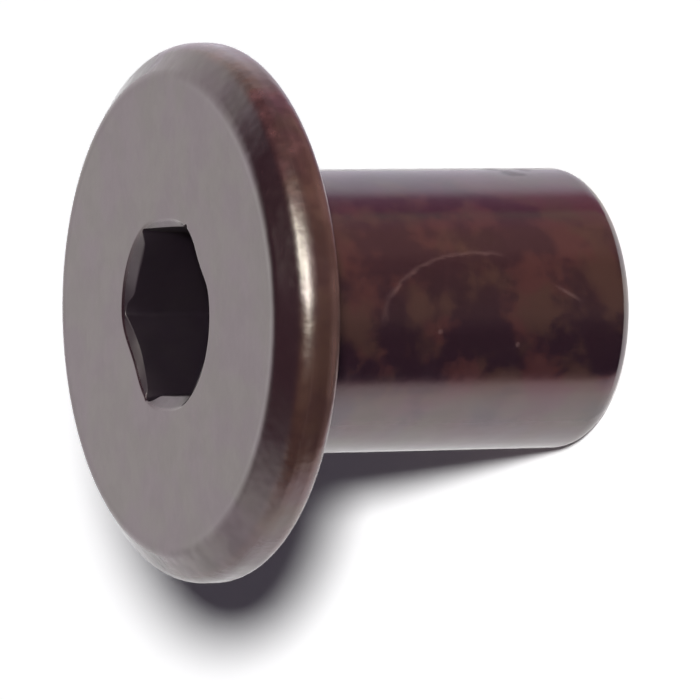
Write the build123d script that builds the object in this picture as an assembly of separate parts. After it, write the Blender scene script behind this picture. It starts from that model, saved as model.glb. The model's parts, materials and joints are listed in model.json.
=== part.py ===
from build123d import *
import os
from math import cos, radians, tan

# Joint connector cap nut: one cold-headed piece of steel. A wide flat head with a
# bevelled rim carries a hexagon socket, and a smooth barrel under it is bored for
# an M6 thread from its open end. The nut stands on that open end, with the origin
# at the centre of the end face and +Z up through the head. Sizes are millimetres.

# Head
head_diameter = 17.0
head_thickness = 2.0
bevel_width = 0.95  # from the flat of the face out to the rim
bevel_angle = 38.0  # degrees down from the face
face_edge_radius = 0.5  # rolls the flat over into the bevel
rim_front_radius = 0.8  # and the bevel into the rim
rim_back_radius = 0.5

# Barrel
barrel_diameter = 9.0
barrel_length = 12.5  # from the underside of the head to the open end
barrel_end_radius = 0.8
neck_radius = 0.2  # fillet between barrel and head

# Hexagon socket, left by a punch with a blunt cone for a tip and a conical shoulder
key_size = 5.0
key_clearance = 0.15  # across flats
socket_depth = 3.2  # of the flats, from the face
socket_corner_radius = 0.15
socket_mouth_clearance = 0.35  # of the countersunk mouth over the socket's corners
socket_mouth_angle = 120.0  # degrees across the countersink
punch_tip_angle = 118.0  # degrees across the cone

# Bore, left at the minor diameter of the M6 thread
thread_diameter = 6.0
thread_pitch = 1.0
bore_mouth_clearance = 0.3  # of the countersink over the thread's diameter
bore_mouth_angle = 90.0  # degrees across the countersink

# Worked out from the sizes above
face_height = barrel_length + head_thickness
bevel_drop = bevel_width * tan(radians(bevel_angle))
thread_depth = 5 / 8 * cos(radians(30)) * thread_pitch
bore_diameter = thread_diameter - 2 * thread_depth
bore_mouth_diameter = thread_diameter + bore_mouth_clearance
bore_mouth_width = (bore_mouth_diameter - bore_diameter) / 2
bore_mouth_depth = bore_mouth_width / tan(radians(bore_mouth_angle / 2))
socket_across_flats = key_size + key_clearance
socket_across_corners = socket_across_flats / cos(radians(30))
socket_floor = face_height - socket_depth
socket_mouth_diameter = socket_across_corners + socket_mouth_clearance
shoulder_width = (socket_mouth_diameter - bore_diameter) / 2
shoulder_length = shoulder_width / tan(radians(socket_mouth_angle / 2))
punch_tip_width = (socket_across_corners - bore_diameter) / 2
punch_tip_length = punch_tip_width / tan(radians(punch_tip_angle / 2))
punch_tip_height = socket_floor - punch_tip_length

standing = (Align.CENTER, Align.CENTER, Align.MIN)


def corner_at(section, radius, height):
    """The corner of a half section that lies nearest to the given place."""
    return section.vertices().sort_by_distance((radius, 0, height))[0]


def blank():
    """The headed blank: a half section with its corners rolled, turned about Z."""
    barrel_radius = barrel_diameter / 2
    head_radius = head_diameter / 2
    bevel_foot = face_height - bevel_drop
    outline = Polyline(
        (0, 0, 0),
        (barrel_radius, 0, 0),
        (barrel_radius, 0, barrel_length),
        (head_radius, 0, barrel_length),
        (head_radius, 0, bevel_foot),
        (head_radius - bevel_width, 0, face_height),
        (0, 0, face_height),
        close=True,
    )
    rolled_corners = [
        (barrel_radius, 0, barrel_end_radius),
        (barrel_radius, barrel_length, neck_radius),
        (head_radius, barrel_length, rim_back_radius),
        (head_radius, bevel_foot, rim_front_radius),
        (head_radius - bevel_width, face_height, face_edge_radius),
    ]
    section = make_face(outline)
    for radius, height, roll in rolled_corners:
        section = fillet(corner_at(section, radius, height), roll)
    return revolve(section, Axis.Z)


def socket_punch():
    """The punch at the end of its stroke: a hexagon with eased corners and a flat
    towards +X and -X, turned to a cone that runs from its corners to the bore, under
    a conical shoulder that countersinks the mouth."""
    hexagon = RegularPolygon(
        radius=socket_across_flats / 2, side_count=6, major_radius=False, rotation=30
    )
    hexagon = fillet(hexagon.vertices(), socket_corner_radius)
    stroke = face_height - punch_tip_height
    shank = extrude(Plane.XY.offset(punch_tip_height) * hexagon, stroke)
    bore_radius = bore_diameter / 2
    corner_radius = socket_across_corners / 2
    tip = Cone(bore_radius, corner_radius, punch_tip_length, align=standing)
    body = Cylinder(corner_radius, socket_depth, align=standing)
    turned = Pos(0, 0, punch_tip_height) * tip + Pos(0, 0, socket_floor) * body
    mouth_radius = socket_mouth_diameter / 2
    shoulder = Cone(bore_radius, mouth_radius, shoulder_length, align=standing)
    return (shank & turned) + Pos(0, 0, face_height - shoulder_length) * shoulder


def bore_drill():
    """The bore from the open end up into the socket, with its countersunk mouth."""
    bore_radius = bore_diameter / 2
    mouth_radius = bore_mouth_diameter / 2
    drill = Cylinder(bore_radius, socket_floor, align=standing)
    countersink = Cone(mouth_radius, bore_radius, bore_mouth_depth, align=standing)
    return drill + countersink


cap_nut = blank() - socket_punch() - bore_drill()
cap_nut.label = "cap_nut"

os.makedirs("parts", exist_ok=True)
export_step(cap_nut, "parts/cap_nut.step")
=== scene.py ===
import json
import math

import bpy
import numpy as np
from mathutils import Matrix, Vector

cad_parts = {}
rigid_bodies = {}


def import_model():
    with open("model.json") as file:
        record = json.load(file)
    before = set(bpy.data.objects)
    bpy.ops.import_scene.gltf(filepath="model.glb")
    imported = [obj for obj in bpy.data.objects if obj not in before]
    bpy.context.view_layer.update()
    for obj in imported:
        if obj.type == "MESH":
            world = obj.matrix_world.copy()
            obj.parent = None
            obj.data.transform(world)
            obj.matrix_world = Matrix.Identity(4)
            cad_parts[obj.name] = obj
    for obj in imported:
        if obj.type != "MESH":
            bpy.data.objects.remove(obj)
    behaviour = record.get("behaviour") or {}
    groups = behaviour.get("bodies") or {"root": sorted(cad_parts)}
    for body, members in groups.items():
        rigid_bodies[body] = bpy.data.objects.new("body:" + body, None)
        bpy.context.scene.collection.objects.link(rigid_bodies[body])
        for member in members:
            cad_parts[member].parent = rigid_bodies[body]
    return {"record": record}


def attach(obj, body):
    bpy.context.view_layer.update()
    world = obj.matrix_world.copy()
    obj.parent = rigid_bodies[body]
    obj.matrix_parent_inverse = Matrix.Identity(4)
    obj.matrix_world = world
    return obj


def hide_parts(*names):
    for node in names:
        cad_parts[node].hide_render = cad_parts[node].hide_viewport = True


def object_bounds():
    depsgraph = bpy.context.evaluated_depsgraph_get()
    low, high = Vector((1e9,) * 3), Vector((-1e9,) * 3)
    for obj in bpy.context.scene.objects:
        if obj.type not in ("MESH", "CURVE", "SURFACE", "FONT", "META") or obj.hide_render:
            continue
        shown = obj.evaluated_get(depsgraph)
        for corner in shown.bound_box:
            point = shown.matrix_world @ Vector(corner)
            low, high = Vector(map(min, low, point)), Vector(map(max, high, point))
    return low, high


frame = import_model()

cad_low, cad_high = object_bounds()

# ---------------------------------------------------------------------------------------
# Cap nut. One slug of low-carbon steel is cold-headed in a die, punched with a hexagon
# socket and tapped M6 right-hand from its open end, on which it stands. It is plated and
# browned to an antique bronze, and the coat is rubbed thin where the head is handled.
# ---------------------------------------------------------------------------------------
mm = 0.001
scene_objects = bpy.context.scene.collection.objects

# Head, barrel and bore, in metres, as the frame has them.
mounts = {mount["name"]: mount for mount in frame["record"]["mounts"]}
head_radius = (cad_high.x - cad_low.x) / 2
face_height = cad_high.z
seat_height = mounts["head_seat"]["pos_m"][2]
barrel_radius = mounts["barrel"]["dims"]["r_mm"] * mm
bore_radius = mounts["thread"]["dims"]["r_mm"] * mm
bore_length = mounts["thread"]["dims"]["length_mm"] * mm
bore_top = mounts["thread"]["pos_m"][2] + bore_length / 2
bore_bottom = bore_top - bore_length
bore_mouth_radius = bore_radius + bore_bottom  # countersunk at 45 degrees

# Bevel of the head, and the rolled edges from the face round to the open end.
bevel_width = 0.95 * mm
bevel_slope = math.radians(38)
bevel_foot = face_height - bevel_width * math.tan(bevel_slope)
face_edge_roll = 0.5 * mm
rim_front_roll = 0.8 * mm
rim_back_roll = 0.5 * mm
neck_roll = 0.2 * mm
barrel_end_roll = 0.8 * mm

# Socket: a hexagon under the punch's conical shoulder, with the cone of its tip below.
socket_apothem = 2.575 * mm
socket_corner_roll = 0.15 * mm
socket_mouth_radius = 3.13 * mm
shoulder_slope = math.radians(30)
narrowest_shoulder = 0.05 * mm
mouth_roll = 0.06 * mm
socket_edge_roll = 0.07 * mm
punch_tip_rise = 1 / math.tan(math.radians(118 / 2))

# The punch came down a little off square. It dragged metal in over the socket's mouth, tore
# the hexagon's top edge at four corners, and pushed that edge down on one flat and up on
# the next. Each row is the size in millimetres, the middle in degrees round from +X, and
# the half width in degrees. The flat that faces +X is torn evenly, out to its corners, and
# one stretch of the edge has lost most of its roll.
dragged_in = ((0.14, 0, 32), (0.36, 122, 36), (0.22, 303, 24), (0.07, 180, 24))
torn_corners = ((0.12, 84, 9), (0.2, 154, 9), (0.1, 329, 7), (0.14, 215, 9))
pushed_down = ((0.14, 122, 32), (-0.12, 58, 30))
torn_flat = 0.13 * mm
torn_flat_end, torn_flat_fade = 37, 7  # degrees from +X
torn_reach = 0.4  # share of the walls' depth
sharp_share = 0.85  # of the roll
sharp_middle, sharp_half_width = 105, 55  # degrees
ragged = 0.012 * mm

thread_pitch = 1.0 * mm
thread_depth = 5 / 8 * math.cos(math.radians(30)) * thread_pitch
thread_run_out = 0.5 * mm

# How many points the bands of the section have.
mouth_roll_points = 5
edge_roll_points = 7
wall_points = 13
thread_points = 200
countersink_points = 18

# The surface is a grid: each column runs round the nut's half section at one of these
# angles. They lie closer together at the socket's six corners, whose small rolls need it.
columns_per_corner = 40
spread = np.linspace(-1, 1, columns_per_corner, endpoint=False)
corner_angle = np.radians(30 + 60 * np.arange(6))
angle = (corner_angle[:, None] + np.radians(30) * (spread + spread**3) / 2).ravel()


def straight_run(start, end, spacing, margin):
    """Points from start to end in even steps, with one more a margin inside each end."""
    length = np.linalg.norm(end - start)
    steps = max(1, math.ceil(length / spacing))
    share = np.linspace(0, 1, steps + 1)
    if length > 3 * margin:
        share = np.union1d(share, (margin / length, 1 - margin / length))
    return start + share[:, None] * (end - start)


def rolled_path(corners, rolls, roll_steps, spacing, margin):
    """Points along straight runs whose inner corners are rolled, as rows of two lengths.

    A roll of radius r touches both runs at r * tan(half the turn) from its corner. Its
    points turn evenly about the centre that lies r to the inside of both runs. A run has
    even steps no longer than the spacing, and one more point a margin inside each end,
    which keeps its shading straight."""
    corners = np.array(corners, float)
    ways = np.diff(corners, axis=0)
    ways = ways / np.linalg.norm(ways, axis=1)[:, None]
    pieces = []
    start = corners[0]
    for corner, way_in, way_out, roll in zip(corners[1:-1], ways, ways[1:], rolls):
        cross = way_in[0] * way_out[1] - way_in[1] * way_out[0]
        turn = math.atan2(cross, way_in @ way_out)
        touch = corner - way_in * roll * math.tan(abs(turn) / 2)
        inward = math.copysign(roll, turn) * np.array((-way_in[1], way_in[0]))
        swept = np.linspace(0, turn, roll_steps + 1)[:, None]
        arm = -inward
        side = np.array((-arm[1], arm[0]))
        pieces.append(straight_run(start, touch, spacing, margin))
        pieces.append(touch + inward + np.cos(swept) * arm + np.sin(swept) * side)
        start = pieces[-1][-1]
    pieces.append(straight_run(start, corners[-1], spacing, margin))
    path = np.vstack(pieces)
    same_point = 1e-9
    moved = np.linalg.norm(np.diff(path, axis=0), axis=1) > same_point
    return path[np.r_[True, moved]]


def hexagon_radius(apothem, corner_roll):
    """Distance from the axis to a hexagon with rolled corners, at each column's angle.

    On a flat it is apothem / cos(angle from the flat's middle). In a corner it is the far
    crossing of the ray with the roll's circle, whose centre is (apothem - roll) / cos 30
    from the axis: centre * cos(d) + sqrt(roll^2 - (centre * sin(d))^2)."""
    from_corner = angle % (np.pi / 3) - np.pi / 6
    from_flat = np.radians(30) - np.abs(from_corner)
    centre = (apothem - corner_roll) / math.cos(math.radians(30))
    reach = np.maximum(corner_roll**2 - (centre * np.sin(from_corner)) ** 2, 0)
    corner = centre * np.cos(from_corner) + np.sqrt(reach)
    flat = apothem / np.cos(from_flat)
    touches = math.atan2((apothem - corner_roll) * math.tan(math.radians(30)), apothem)
    return np.where(from_flat > touches, corner, flat)


def degrees_from(middle):
    """How far round each column is from an angle, in degrees between -180 and 180."""
    return (np.degrees(angle) - middle + 180) % 360 - 180


def bump_round(middle, half_width):
    """A smooth bump of height 1 round the nut: cos^2 of 90 degrees * away / half width."""
    share = np.clip(degrees_from(middle) / half_width, -1, 1)
    return np.cos(share * np.pi / 2) ** 2


def bumps_round(rows):
    """The bumps of a table of millimetres, middle and half width, added up in metres."""
    return sum(size * mm * bump_round(middle, half_width) for size, middle, half_width in rows)


# Outside, from the edge of the bore's countersink out, up and over to the flat of the face.
outside = rolled_path(
    corners=[
        (bore_mouth_radius, 0),
        (barrel_radius, 0),
        (barrel_radius, seat_height),
        (head_radius, seat_height),
        (head_radius, bevel_foot),
        (head_radius - bevel_width, face_height),
        (head_radius - 2 * bevel_width, face_height),
    ],
    rolls=[barrel_end_roll, neck_roll, rim_back_roll, rim_front_roll, face_edge_roll],
    roll_steps=10,
    spacing=0.9 * mm,
    margin=0.04 * mm,
)
outside_radius, outside_height = outside[:, :1], outside[:, 1:]

# The socket's mouth and the hexagon's top edge, at each column. Both wander by twelve
# waves round the socket, each lower the shorter it is.
wander = np.random.default_rng(7)
waves = np.arange(2, 14)
mouth_waves = wander.normal(size=len(waves)) / waves
edge_waves = wander.normal(size=len(waves)) / waves
phases = wander.uniform(0, 2 * np.pi, size=(2, len(waves)))
mouth_wander = mouth_waves @ np.cos(waves[:, None] * angle + phases[0][:, None])
edge_wander = edge_waves @ np.cos(waves[:, None] * angle + phases[1][:, None])
flat_share = np.clip((torn_flat_end - np.abs(degrees_from(0))) / torn_flat_fade, 0, 1)
wall = hexagon_radius(socket_apothem, socket_corner_roll)
edge = wall + ragged * edge_wander + torn_flat * flat_share + bumps_round(torn_corners)
mouth = socket_mouth_radius + ragged * mouth_wander - bumps_round(dragged_in)
mouth = np.maximum(mouth, edge + narrowest_shoulder)
edge_depth = (mouth - edge) * math.tan(shoulder_slope) + bumps_round(pushed_down)
edge_roll = socket_edge_roll * (1 - sharp_share * bump_round(sharp_middle, sharp_half_width))

# The face rolls over into the shoulder, and the shoulder into the hexagon's walls. As the
# slope turns from one to the other, a roll's points are its centre + roll * (-sin, cos).
mouth_turn = np.linspace(0, shoulder_slope, mouth_roll_points)[:, None]
mouth_roll_radius = mouth + mouth_roll * (math.tan(shoulder_slope / 2) - np.sin(mouth_turn))
mouth_roll_height = face_height - mouth_roll * (1 - np.cos(mouth_turn))
edge_turn = np.linspace(shoulder_slope, np.pi / 2, edge_roll_points)[:, None]
edge_centre = face_height - edge_depth - edge_roll * math.tan((np.pi / 2 - shoulder_slope) / 2)
edge_roll_radius = edge + edge_roll * (1 - np.sin(edge_turn))
edge_roll_height = edge_centre + edge_roll * np.cos(edge_turn)


def between(first, last, *shares):
    """Rows from a first row towards a last one: (1 - share) * first + share * last."""
    share = np.array(shares)[:, None]
    return (1 - share) * first + share * last


face_shares = (0.1, 0.28, 0.46, 0.64, 0.8, 0.92, 0.98)
face_radius = between(outside_radius[-1], mouth_roll_radius[0], *face_shares)
shoulder_shares = (0.08, 0.36, 0.64, 0.92)
shoulder_radius = between(mouth_roll_radius[-1], edge_roll_radius[0], *shoulder_shares)
shoulder_height = between(mouth_roll_height[-1], edge_roll_height[0], *shoulder_shares)

# The walls down to the cone that the punch's tip left, and that cone down to the bore.
# The torn edge eases back to a true hexagon over the upper part of the walls.
wall_foot = bore_top + (wall - bore_radius) * punch_tip_rise
wall_share = np.linspace(0, 1, wall_points)[1:, None]
torn_share = np.clip(1 - wall_share / torn_reach, 0, 1) ** 2
wall_radius = torn_share * edge_roll_radius[-1] + (1 - torn_share) * wall
wall_height = (1 - wall_share) * edge_roll_height[-1] + wall_share * wall_foot
cone_radius = between(wall, bore_radius, 0.1, 0.5, 0.9)
cone_height = bore_top + (cone_radius - bore_radius) * punch_tip_rise


def thread_radius(heights):
    """Radius of the tapped wall at each height and angle.

    The groove's middle climbs one pitch for each turn anticlockwise about +Z, so the
    thread is right-handed. From it the wall stays at full depth for 1/16 of a pitch and
    then comes in along a flank, 30 degrees off square, to the bore's radius at 3/8 of a
    pitch. The groove fades out over the run-out below the socket."""
    turns = heights / thread_pitch - angle / (2 * np.pi)
    from_groove = np.abs((turns % 1) - 0.5)
    cut = np.clip((3 / 8 - from_groove) / (5 / 16), 0, 1)
    fade = np.clip((bore_top - heights) / thread_run_out, 0, 1)
    return bore_radius + thread_depth * cut * fade


# The tapped bore, and the countersink at the open end, which cuts the thread's first turn.
thread_height = np.linspace(bore_top, bore_bottom, thread_points)[:, None]
countersink_height = np.linspace(bore_bottom, 0, countersink_points)[1:-1, None]
countersink_cone = bore_mouth_radius - countersink_height
countersink_radius = np.maximum(countersink_cone, thread_radius(countersink_height))

# All the bands in order, from the open end over the outside and back down through the
# bore. The last row joins the first, so the surface is closed.
bands = (
    (outside_radius, outside_height),
    (face_radius, face_height),
    (mouth_roll_radius, mouth_roll_height),
    (shoulder_radius, shoulder_height),
    (edge_roll_radius, edge_roll_height),
    (wall_radius, wall_height),
    (cone_radius, cone_height),
    (thread_radius(thread_height), thread_height),
    (countersink_radius, countersink_height),
)
full_bands = [np.broadcast_arrays(*band, angle) for band in bands]
radius = np.vstack([band[0] for band in full_bands])
height = np.vstack([band[1] for band in full_bands])
vertices = np.stack((radius * np.cos(angle), radius * np.sin(angle), height), axis=-1)

number = np.arange(radius.size).reshape(radius.shape)
next_column = np.roll(number, -1, axis=1)
next_row = np.roll(number, -1, axis=0)
next_both = np.roll(next_row, -1, axis=1)
faces = np.stack((number, next_column, next_both, next_row), axis=-1).reshape(-1, 4)

nut_mesh = bpy.data.meshes.new("cap_nut_form")
nut_mesh.from_pydata(vertices.reshape(-1, 3).tolist(), [], faces.tolist())
nut_mesh.polygons.foreach_set("use_smooth", np.ones(len(faces), bool))
nut_mesh.update()
nut = bpy.data.objects.new("browned_cap_nut", nut_mesh)
scene_objects.link(nut)


def add_node(tree, kind, settings, inputs):
    """A new node in a tree, with its settings, and its inputs given as numbers or links."""
    node = tree.nodes.new(kind)
    for name, value in settings.items():
        setattr(node, name, value)
    for name, value in inputs.items():
        if isinstance(value, bpy.types.NodeSocket):
            tree.links.new(value, node.inputs[name])
        else:
            node.inputs[name].default_value = value
    return node


def arithmetic(tree, operation, *values):
    """One step of arithmetic on numbers and links."""
    inputs = dict(enumerate(values))
    return add_node(tree, "ShaderNodeMath", {"operation": operation}, inputs).outputs[0]


def vector_arithmetic(tree, operation, inputs):
    """One step of arithmetic on vectors, whose result is read as a vector."""
    return add_node(tree, "ShaderNodeVectorMath", {"operation": operation}, inputs).outputs[0]


def product(tree, *values):
    """The values multiplied together."""
    result = values[0]
    for value in values[1:]:
        result = arithmetic(tree, "MULTIPLY", result, value)
    return result


def total(tree, *values):
    """The values added together."""
    result = values[0]
    for value in values[1:]:
        result = arithmetic(tree, "ADD", result, value)
    return result


def from_middle(tree, value, middle, size):
    """How far a value is from a middle, as a share of a size: (value - middle) / size."""
    return arithmetic(tree, "MULTIPLY_ADD", value, 1 / size, -middle / size)


def hypotenuse(tree, first, second):
    """sqrt(first^2 + second^2)."""
    squares = total(tree, product(tree, first, first), product(tree, second, second))
    return arithmetic(tree, "SQRT", squares)


def ramp(tree, value, low, high, to_low=0.0, to_high=1.0):
    """A value brought smoothly from one range to another, 3 t^2 - 2 t^3, and held outside."""
    settings = {"interpolation_type": "SMOOTHSTEP"}
    inputs = {
        "Value": value,
        "From Min": low,
        "From Max": high,
        "To Min": to_low,
        "To Max": to_high,
    }
    return add_node(tree, "ShaderNodeMapRange", settings, inputs).outputs["Result"]


def blend(tree, share, first, second):
    """Two colours mixed, (1 - share) * first + share * second, each a link or three numbers.

    The node takes colours at its sockets 6 and 7, and gives one at its output 2."""
    inputs = {0: share}
    for socket, colour in ((6, first), (7, second)):
        linked = isinstance(colour, bpy.types.NodeSocket)
        inputs[socket] = colour if linked else (*colour, 1)
    return add_node(tree, "ShaderNodeMix", {"data_type": "RGBA"}, inputs).outputs[2]


# Finish. The coat's own colour is dark and mottled, and most of what it shows is the gloss.
finish = bpy.data.materials.new("antique_bronze_plating")
finish.use_nodes = True
coat = finish.node_tree
shader = coat.nodes["Principled BSDF"]

black_brown = (0.016, 0.006, 0.009)
red_brown = (0.042, 0.014, 0.013)
olive_brown = (0.037, 0.0165, 0.013)
dried_mark = (0.10, 0.055, 0.052)
face_brown = (0.018, 0.007, 0.009)
socket_painted_shade = (0.009, 0.006, 0.009)
rim_brown = (0.040, 0.018, 0.012)
rubbed_red = (0.108, 0.042, 0.043)
rubbed_tan = (0.098, 0.045, 0.034)
rim_stain = (0.024, 0.009, 0.009)
lighter_back_edge = (0.095, 0.050, 0.042)
pink_gloss = (1.0, 0.86, 0.92)
warm_gloss = (1.0, 0.92, 0.89)

place = coat.nodes.new("ShaderNodeTexCoord").outputs["Object"]
place_parts = add_node(coat, "ShaderNodeSeparateXYZ", {}, {0: place}).outputs
across, depth, level = place_parts["X"], place_parts["Y"], place_parts["Z"]
from_axis = hypotenuse(coat, across, depth)


def cloud(features, detail, rough, shift=0.0):
    """Smooth noise between about 0.3 and 0.7, with this many features to the metre."""
    moved = vector_arithmetic(coat, "ADD", {0: place, 1: (shift, shift, shift)})
    inputs = {"Vector": moved, "Scale": features, "Detail": detail, "Roughness": rough}
    return add_node(coat, "ShaderNodeTexNoise", {}, inputs).outputs["Fac"]


def thin_line(away, half_width):
    """1 where the distance away is nothing, falling to 0 at the half width either side."""
    return ramp(coat, arithmetic(coat, "ABSOLUTE", away), half_width, 0.0)


# The browning took unevenly: near-black where it is thick, red or olive brown elsewhere.
# Each edge is the pair of levels of a cloud between which the coat changes.
brown_edge = (0.43, 0.56)
olive_edge = (0.45, 0.58)
broad = cloud(430, 3, 0.5)
fine = cloud(1600, 3, 0.6, 0.01)
hue = cloud(600, 2, 0.5, 0.02)
mottle = total(coat, product(coat, broad, 0.7), product(coat, fine, 0.3))
brown = blend(coat, ramp(coat, hue, *olive_edge), red_brown, olive_brown)
skin = blend(coat, ramp(coat, mottle, *brown_edge), black_brown, brown)

# A drop dried on the barrel's -Y side and left part of its edge. It is an oval line, whose
# distance from the middle is a share of the drop's half sizes and wavers with the fine
# cloud. The line fades out on the drop's -X side and at its foot.
drop_middle_level, drop_middle_across = 5.6 * mm, -0.35 * mm
drop_half_height, drop_half_width = 3.45 * mm, 2.1 * mm
drop_waver = 0.16
drop_line = 0.05
drop_level = from_middle(coat, level, drop_middle_level, drop_half_height)
drop_across = from_middle(coat, across, drop_middle_across, drop_half_width)
drop_wavers = arithmetic(coat, "MULTIPLY_ADD", fine, drop_waver, -drop_waver / 2)
from_drop = total(coat, hypotenuse(coat, drop_level, drop_across), drop_wavers, -1.0)
on_front = ramp(coat, depth, 0.0, -1 * mm)
drop = product(
    coat,
    thin_line(from_drop, drop_line),
    ramp(coat, drop_across, -0.15, 0.1),
    on_front,
    ramp(coat, level, 4.4 * mm, 5.2 * mm),
    ramp(coat, fine, 0.4, 0.6, 0.35, 0.9),
)

# A short scratch leans across the barrel near its open end, and two pale specks are above
# it. The scratch's own lengths are in millimetres, along its lean and to the side.
scratch_middle_level, scratch_middle_across = 2.5 * mm, 0.43 * mm
scratch_half_width, scratch_half_length = 0.1, 0.7
lean_cosine, lean_sine = 0.87, 0.48
scratch_level = from_middle(coat, level, scratch_middle_level, mm)
scratch_across = from_middle(coat, across, scratch_middle_across, mm)
scratch_side = total(
    coat,
    product(coat, scratch_across, lean_cosine),
    product(coat, scratch_level, -lean_sine),
)
scratch_run = total(
    coat,
    product(coat, scratch_across, lean_sine),
    product(coat, scratch_level, lean_cosine),
)
scratch = product(
    coat,
    thin_line(scratch_side, scratch_half_width),
    thin_line(scratch_run, scratch_half_length),
    on_front,
)


def spots(centres, edge, core, waver=0.0):
    """Spots round centres in millimetres: 1 within the core of any of them, 0 past the edge.

    Each is a ramp of the distance from its centre, to which the fine cloud adds up to
    half the waver either way."""
    share = 0.0
    wavers = arithmetic(coat, "MULTIPLY_ADD", fine, waver, -waver / 2)
    for centre in centres:
        inputs = {0: place, 1: tuple(part * mm for part in centre)}
        node = add_node(coat, "ShaderNodeVectorMath", {"operation": "DISTANCE"}, inputs)
        spot = ramp(coat, total(coat, node.outputs["Value"], wavers), edge, core)
        share = arithmetic(coat, "MAXIMUM", share, spot)
    return share


speck_places = ((-0.72, -4.44, 7.08), (-1.17, -4.35, 4.29))
specks = spots(speck_places, 0.12 * mm, 0.03 * mm)
marks = arithmetic(coat, "MAXIMUM", arithmetic(coat, "MAXIMUM", drop, scratch), specks)
mark_strength = 0.5
skin = blend(coat, product(coat, marks, mark_strength), skin, dried_mark)

# The face and the bevel keep their dark coat, and the socket is darker still: painted shade
# in its recess. Here and below, a pair of lengths is where a zone begins and where it is
# full, as heights or as distances from the axis.
on_top = ramp(coat, level, 13.75 * mm, 14.0 * mm)
skin = blend(coat, on_top, skin, face_brown)
in_socket = product(
    coat,
    ramp(coat, from_axis, 3.4 * mm, 3.2 * mm),
    ramp(coat, level, 14.49 * mm, 14.42 * mm),
)
# Painted shade: the socket and the bore are darkened inside.
skin = blend(coat, in_socket, skin, socket_painted_shade)

# Hands have rubbed the rolled rim and have left stains on it. Its colour grows lighter
# towards +X, and the edge at the back of the head is lighter in places.
red_edge = (0.42, 0.6)
stain_edge = (0.58, 0.42)
stain_strength = 0.6
on_rim = product(
    coat,
    ramp(coat, from_axis, 7.9 * mm, 8.2 * mm),
    ramp(coat, level, 14.05 * mm, 13.8 * mm),
)
rubbed = blend(coat, ramp(coat, hue, *red_edge), rubbed_red, rubbed_tan)
rubbed = blend(coat, ramp(coat, across, -1 * mm, 8 * mm), rim_brown, rubbed)
stain = total(coat, product(coat, fine, 0.5), product(coat, broad, 0.5))
stain = ramp(coat, stain, *stain_edge, 0.0, stain_strength)
skin = blend(coat, on_rim, skin, blend(coat, stain, rubbed, rim_stain))
back_edge = product(
    coat,
    ramp(coat, level, 13.1 * mm, 12.85 * mm),
    ramp(coat, from_axis, 8.1 * mm, 8.35 * mm),
    ramp(coat, broad, 0.4, 0.6, 0.3, 0.9),
)
skin = blend(coat, back_edge, skin, lighter_back_edge)

# The gloss is faintly tinted and uneven. It is duller in patches on the bevel's -X side, and
# on a scuff low on the barrel's +X side.
patch_loss = 0.22
scuff_kept = 0.4
tint = blend(coat, ramp(coat, hue, 0.35, 0.65), pink_gloss, warm_gloss)
uneven = ramp(coat, cloud(1000, 2, 0.5, 0.04), 0.38, 0.62, 0.94, 1.0)
patch = product(
    coat,
    ramp(coat, cloud(850, 2, 0.5, 0.06), 0.40, 0.62),
    ramp(coat, from_axis, 7.3 * mm, 7.6 * mm),
    ramp(coat, across, -2.5 * mm, -4.5 * mm),
    ramp(coat, level, 13.6 * mm, 13.9 * mm),
)
scuff_run = ((4.44, -0.75, 3.15), (4.38, -1.05, 2.85), (4.29, -1.35, 2.70), (4.42, -0.86, 2.0))
scuff = spots(scuff_run, 0.5 * mm, 0.0, waver=1.0 * mm)
gloss = arithmetic(coat, "MULTIPLY_ADD", patch, -patch_loss, uneven)
gloss = product(coat, gloss, ramp(coat, scuff, 0.0, 1.0, 1.0, scuff_kept))
gloss_tint = vector_arithmetic(coat, "SCALE", {0: tint, "Scale": gloss})

# Roughness, with what the rubbed rim, the punched socket and the scuff add to it.
rim_roughness, socket_roughness, scuff_roughness = 0.06, 0.2, 0.12
rough = total(
    coat,
    ramp(coat, fine, 0.35, 0.65, 0.12, 0.19),
    product(coat, on_rim, rim_roughness),
    product(coat, in_socket, socket_roughness),
    product(coat, scuff, scuff_roughness),
)

# The plating is a little grainy, most of all on the rubbed rim, and the bevel and rim have
# the low waves that the heading die leaves.
grain_height = 0.004 * mm
grain_on_coat, grain_on_rim, die_wave_height = 0.6, 2.2, 9.0
grain = ramp(coat, on_rim, 0.0, 1.0, grain_on_coat, grain_on_rim)
grain = product(coat, cloud(3600, 3, 0.55, 0.03), grain)
on_edge = ramp(coat, from_axis, 7.2 * mm, 7.7 * mm)
die_waves = product(coat, cloud(900, 2, 0.5, 0.05), on_edge, die_wave_height)
relief = {"Strength": 1.0, "Distance": grain_height, "Height": total(coat, grain, die_waves)}
bump = add_node(coat, "ShaderNodeBump", {}, relief)

shader.inputs["Metallic"].default_value = 0.0
shader.inputs["IOR"].default_value = 2.2
coat.links.new(skin, shader.inputs["Base Color"])
coat.links.new(gloss_tint, shader.inputs["Specular Tint"])
coat.links.new(rough, shader.inputs["Roughness"])
coat.links.new(bump.outputs["Normal"], shader.inputs["Normal"])
nut_mesh.materials.append(finish)

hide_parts("cap_nut")
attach(nut, "root")

# ---------------------------------------------------------------------------------------
# Floor. A wide sheet of matt white paper under the nut. It reads as plain white to the
# eye and in the gloss, and keeps the nut's shadow.
# ---------------------------------------------------------------------------------------
floor_half_width = 0.6
paper_white = (0.9, 0.9, 0.9)
shown_white = (1.5, 1.5, 1.5)

floor_corners = np.array(((-1, -1, 0), (1, -1, 0), (1, 1, 0), (-1, 1, 0))) * floor_half_width
floor_mesh = bpy.data.meshes.new("floor")
floor_mesh.from_pydata(floor_corners.tolist(), [], [(0, 1, 2, 3)])
floor = bpy.data.objects.new("floor", floor_mesh)
scene_objects.link(floor)

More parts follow.
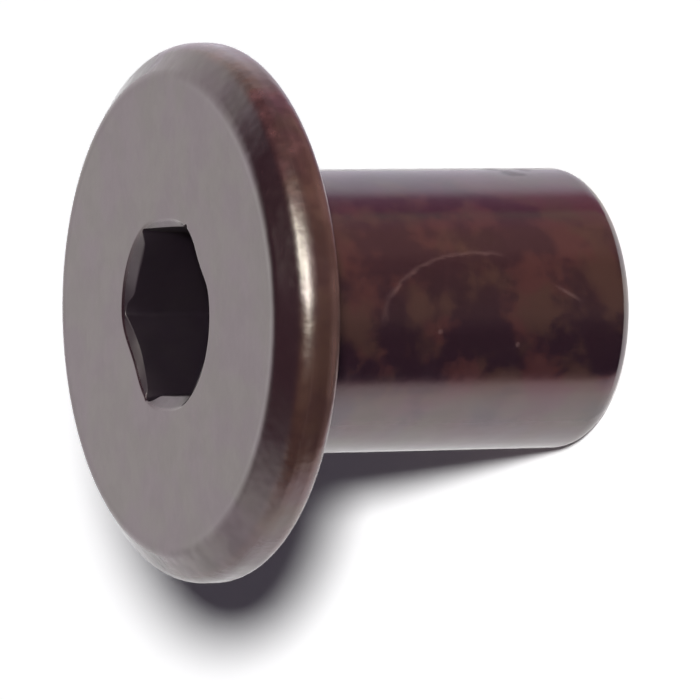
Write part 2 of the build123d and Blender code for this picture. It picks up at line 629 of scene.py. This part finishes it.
paper = bpy.data.materials.new("white_paper")
paper.use_nodes = True
paper_tree = paper.node_tree
paper_tree.nodes.clear()
paper_ray = paper_tree.nodes.new("ShaderNodeLightPath").outputs
paper_shown = arithmetic(
    paper_tree, "MAXIMUM", paper_ray["Is Camera Ray"], paper_ray["Is Transmission Ray"]
)
paper_shown = arithmetic(paper_tree, "MAXIMUM", paper_shown, paper_ray["Is Glossy Ray"])
paper_colour = blend(paper_tree, paper_shown, paper_white, shown_white)
paper_surface = add_node(paper_tree, "ShaderNodeBsdfDiffuse", {}, {"Color": paper_colour})
add_node(paper_tree, "ShaderNodeOutputMaterial", {}, {"Surface": paper_surface.outputs[0]})
floor_mesh.materials.append(paper)

# ---------------------------------------------------------------------------------------
# Reflection card. A glowing card lies on the paper round the front of the nut, for the
# barrel and the rim to mirror: a painted reflection of a dark room, the white paper and the
# low glow, in black, brown and white. It shows in gloss alone, and lights nothing.
# ---------------------------------------------------------------------------------------


def toward(azimuth, elevation):
    """The unit vector at an azimuth from -Y towards +X and an elevation, in degrees."""
    azimuth, elevation = math.radians(azimuth), math.radians(elevation)
    run = math.cos(elevation)
    return Vector((math.sin(azimuth) * run, -math.cos(azimuth) * run, math.sin(elevation)))


# Card's tones near the barrel and far from it, as rows of degrees round the barrel from
# -Y, red, green and blue. A row's tone is what the barrel mirrors at that angle.
near_tones = np.array(
    (
        (-54, 1.02, 1.02, 1.02),
        (-50, 0.98, 0.98, 1.0),
        (-44, 0.97, 0.96, 1.0),
        (-38, 0.91, 0.85, 0.87),
        (-36.5, 0.82, 0.72, 0.76),
        (-33.5, 0.77, 0.65, 0.68),
        (-32, 0.58, 0.46, 0.48),
        (-30.5, 0.24, 0.16, 0.18),
        (-29, 0.06, 0.05, 0.07),
        (-27, 0.01, 0.015, 0.03),
        (-12, 0.02, 0.02, 0.03),
        (-7, 0.05, 0.04, 0.05),
        (-3, 0.12, 0.08, 0.08),
        (12, 0.16, 0.09, 0.08),
        (19, 0.2, 0.10, 0.09),
        (24, 0.32, 0.17, 0.15),
        (33, 0.36, 0.19, 0.17),
        (36, 0.38, 0.19, 0.21),
        (38.5, 0.36, 0.2, 0.22),
        (41, 0.36, 0.26, 0.25),
        (44, 0.31, 0.12, 0.2),
        (51, 0.40, 0.2, 0.3),
        (54, 0.64, 0.48, 0.6),
        (56.5, 0.82, 0.72, 0.85),
        (59, 0.91, 0.84, 0.96),
        (62, 0.93, 0.89, 1.0),
        (80, 0.97, 0.93, 1.06),
    )
)
far_tones = np.array(
    (
        (-54, 1.02, 1.02, 1.02),
        (-49, 1.0, 0.95, 0.95),
        (-38, 0.78, 0.7, 0.7),
        (-34, 0.45, 0.35, 0.35),
        (-31, 0.08, 0.055, 0.065),
        (27, 0.08, 0.055, 0.065),
        (38, 0.14, 0.1, 0.11),
        (48, 0.22, 0.17, 0.2),
        (56, 0.62, 0.56, 0.6),
        (65, 1.18, 1.13, 1.22),
        (80, 1.18, 1.13, 1.25),
    )
)
near_until, far_from = 24 * mm, 36 * mm
glow_way = toward(22, 20)
glow_peak = 1.6
glow_narrow = 12
glow_colour = np.array((1.05, 1.0, 0.90))
rim_height = 13.2 * mm
rim_overhang = head_radius - barrel_radius
card_thickness = 0.1 * mm
card_reach = 580 * mm
fan_lines = 135


def tone_at(tones, degrees):
    """Colour at each angle, drawn straight between a table's rows, as columns of three."""
    bands_of_colour = [np.interp(degrees, tones[:, 0], tones[:, band]) for band in (1, 2, 3)]
    return np.stack(bands_of_colour, axis=-1)[:, None, :]


# The card is a fan of lines on the floor. A level ray that comes in along +Y and meets the
# barrel at an angle leaves it at twice that angle, so each line starts on the barrel and
# runs that way: barrel * (sin a, -cos a) + reach * (sin 2a, -cos 2a).
fan_degrees = np.linspace(near_tones[0, 0], near_tones[-1, 0], fan_lines)
fan = np.radians(fan_degrees)[:, None]
near_reach = np.linspace(0, 30 * mm, 7)
far_reach = np.geomspace(far_from, card_reach, 24)
reach = np.concatenate((near_reach, far_reach))
card_x = barrel_radius * np.sin(fan) + reach * np.sin(2 * fan)
card_y = -barrel_radius * np.cos(fan) - reach * np.cos(2 * fan)
card_z = np.full_like(card_x, card_thickness)
card_points = np.stack((card_x, card_y, card_z), axis=-1)
card_number = np.arange(card_x.size).reshape(card_x.shape)
card_faces = np.stack(
    (card_number[:-1, :-1], card_number[1:, :-1], card_number[1:, 1:], card_number[:-1, 1:]),
    axis=-1,
)

# The low glow in front of the nut lies on the far card too, as the rim sees it:
# peak * exp(narrow * (cos(angle from the glow) - 1)).
from_rim = np.stack(
    np.broadcast_arrays(
        np.sin(2 * fan),
        -np.cos(2 * fan),
        -rim_height / np.maximum(reach - rim_overhang, 1 * mm),
    ),
    axis=-1,
)
from_rim = from_rim / np.linalg.norm(from_rim, axis=-1, keepdims=True)
card_glow = glow_peak * np.exp(glow_narrow * (from_rim @ np.array(glow_way) - 1))
near_share = np.clip((far_from - reach) / (far_from - near_until), 0, 1)[:, None]
far_colour = tone_at(far_tones, fan_degrees) + card_glow[..., None] * glow_colour
near_colour = tone_at(near_tones, fan_degrees)
card_colour = np.ones((*card_x.shape, 4))
card_colour[..., :3] = near_share * near_colour + (1 - near_share) * far_colour

card_mesh = bpy.data.meshes.new("painted_reflection_card")
card_mesh.from_pydata(card_points.reshape(-1, 3).tolist(), [], card_faces.reshape(-1, 4).tolist())
card_tone = card_mesh.attributes.new("tone", "FLOAT_COLOR", "POINT")
card_tone.data.foreach_set("color", card_colour.ravel())
card = bpy.data.objects.new("painted_reflection_card", card_mesh)
scene_objects.link(card)
card.visible_camera = False
card.visible_diffuse = False
card.visible_shadow = False
card.visible_transmission = False

# Painted reflection: the card glows with the tones that the barrel and the rim mirror.
reflection_card_material = bpy.data.materials.new("painted_reflection_glow")
reflection_card_material.use_nodes = True
reflection_card_tree = reflection_card_material.node_tree
reflection_card_tree.nodes.clear()
reflection_card_tone = add_node(reflection_card_tree, "ShaderNodeAttribute", {"attribute_name": "tone"}, {})
reflection_card_light = add_node(reflection_card_tree, "ShaderNodeEmission", {}, {"Color": reflection_card_tone.outputs["Color"]})
add_node(reflection_card_tree, "ShaderNodeOutputMaterial", {}, {"Surface": reflection_card_light.outputs[0]})
card_mesh.materials.append(reflection_card_material)

# ---------------------------------------------------------------------------------------
# Room. A dim studio with a white wall behind the nut and two soft lamps and a low glow in
# front of it, as the gloss mirrors them. The backdrop seen past the nut is plain white.
# ---------------------------------------------------------------------------------------
soft_lamps = ((toward(14, 28), 8.6, 34), (toward(30, 48.5), 7.4, 52))
lamp_colour = (1.02, 1.04, 0.92)
wall_white = (1.22, 1.18, 1.19)
room_dark = (0.07, 0.05, 0.06)
room_fill = (0.032, 0.028, 0.036)
backdrop_white = (1.0, 1.0, 1.0)

room = bpy.data.worlds.new("studio")
bpy.context.scene.world = room
room.use_nodes = True
room_tree = room.node_tree
room_tree.nodes.clear()
room_way = room_tree.nodes.new("ShaderNodeTexCoord").outputs["Generated"]
room_up = add_node(room_tree, "ShaderNodeSeparateXYZ", {}, {0: room_way}).outputs["Z"]
room_ray = room_tree.nodes.new("ShaderNodeLightPath").outputs


def facing(way):
    """Cosine of the angle between the ray's way and another."""
    inputs = {0: room_way, 1: tuple(way)}
    node = add_node(room_tree, "ShaderNodeVectorMath", {"operation": "DOT_PRODUCT"}, inputs)
    return node.outputs["Value"]


def soft_light(way, peak, narrow):
    """A round soft light: peak * exp(narrow * (cos(angle away) - 1))."""
    power = arithmetic(room_tree, "MULTIPLY_ADD", facing(way), narrow, -narrow)
    return product(room_tree, arithmetic(room_tree, "EXPONENT", power), peak)


# The wall's white comes in between two cosines of the angle from its middle, which is a
# little to the -X side of straight behind the nut. It dies out upwards, by the elevation's sine.
white_wall = total(
    room_tree,
    ramp(room_tree, facing(toward(196, 0)), -0.14, 0.42, 0.0, 0.75),
    ramp(room_tree, facing(toward(180, 0)), 0.5, 1.0, 0.0, 0.25),
)
white_wall = product(room_tree, white_wall, ramp(room_tree, room_up, 1.02, 0.62))
wall_light = blend(room_tree, white_wall, room_dark, wall_white)
lamp_strength = total(
    room_tree,
    *[soft_light(*soft_lamp) for soft_lamp in soft_lamps],
    soft_light(glow_way, glow_peak, glow_narrow),
)
lamp_light = vector_arithmetic(room_tree, "SCALE", {0: lamp_colour, "Scale": lamp_strength})
mirrored = vector_arithmetic(room_tree, "ADD", {0: lamp_light, 1: wall_light})
room_colour = blend(room_tree, room_ray["Is Glossy Ray"], room_fill, mirrored)
seen_past = arithmetic(
    room_tree, "MAXIMUM", room_ray["Is Camera Ray"], room_ray["Is Transmission Ray"]
)
room_colour = blend(room_tree, seen_past, room_colour, backdrop_white)
background = add_node(room_tree, "ShaderNodeBackground", {}, {"Color": room_colour})
add_node(room_tree, "ShaderNodeOutputWorld", {}, {"Surface": background.outputs[0]})

# ---------------------------------------------------------------------------------------
# Softbox. One lamp high in front of the nut gives the light and the soft-edged shadow. It
# isn't mirrored itself, because the room's soft lamps are what the gloss shows of it.
# ---------------------------------------------------------------------------------------
softbox_light = bpy.data.lights.new("softbox", "SUN")
softbox_light.energy = 1.4 * math.pi
softbox_light.angle = math.radians(5.4)
softbox = bpy.data.objects.new("softbox", softbox_light)
softbox.visible_glossy = False
softbox.rotation_mode = "QUATERNION"
softbox.rotation_quaternion = toward(6.7, 27.8).to_track_quat("Z", "Y")
scene_objects.link(softbox)

# ---------------------------------------------------------------------------------------
# Camera. A long lens looks down on the nut from the front. The camera is laid on its side,
# so that the nut's axis runs across the view, with the head on the left.
# ---------------------------------------------------------------------------------------
camera_tilt = math.radians(62.6)  # up from straight down
camera_roll = math.radians(-1.015)
camera_distance = 260 * mm
aim_right = 5.809 * mm
aim_down = 1.143 * mm

forward = Vector((0, math.sin(camera_tilt), -math.cos(camera_tilt)))
upright = Vector((0, math.cos(camera_tilt), math.sin(camera_tilt)))
right = Vector((math.sin(camera_roll), 0, 0)) - math.cos(camera_roll) * upright
down = Vector((-math.cos(camera_roll), 0, 0)) - math.sin(camera_roll) * upright
aim = Vector((0, 0, face_height)) + right * aim_right + down * aim_down
eye = aim - forward * camera_distance

camera_data = bpy.data.cameras.new("camera")
camera_data.sensor_width = 36
camera_data.lens = 426.0672
camera_data.clip_start = 0.01
camera_data.clip_end = 3
camera = bpy.data.objects.new("camera", camera_data)
scene_objects.link(camera)
camera.matrix_world = Matrix(
    (
        (right.x, -down.x, -forward.x, eye.x),
        (right.y, -down.y, -forward.y, eye.y),
        (right.z, -down.z, -forward.z, eye.z),
        (0, 0, 0, 1),
    )
)
bpy.context.scene.camera = camera
bpy.context.scene.view_settings.view_transform = "Standard"
